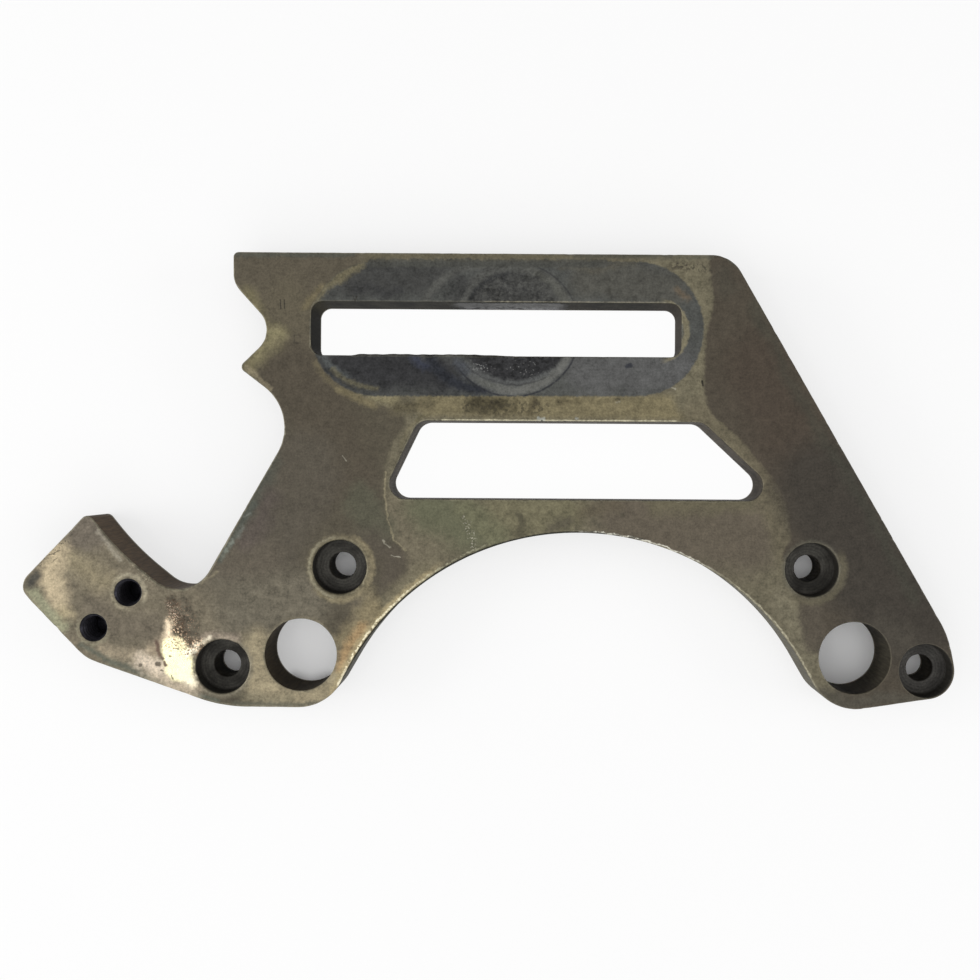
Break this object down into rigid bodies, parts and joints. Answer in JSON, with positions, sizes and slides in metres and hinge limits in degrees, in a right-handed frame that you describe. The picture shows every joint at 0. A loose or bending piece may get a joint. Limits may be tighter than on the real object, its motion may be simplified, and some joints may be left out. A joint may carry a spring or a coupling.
{
  "type": "idler bracket",
  "caption": "Thick flat metal idler bracket with a long slot for the idler's stud, a window, an arch between two drilled feet and an arm with threaded holes.",
  "frame": {"origin": "centre of the plate's bounding box, on its back face, which is the face it rests on", "axes": "+X along the long slot towards the slanted end, +Y from the feet towards the slot, +Z out of the counterbored front face"},
  "size_m": [0.3294, 0.1608, 0.0159],
  "materials": {
    "plate": "aged olive-bronze coating, worn to bare grey along the slot, with bright worn edges"
  },
  "bodies": {
    "root": {"bracket_plate": "plate"}
  },
  "joints": []
}
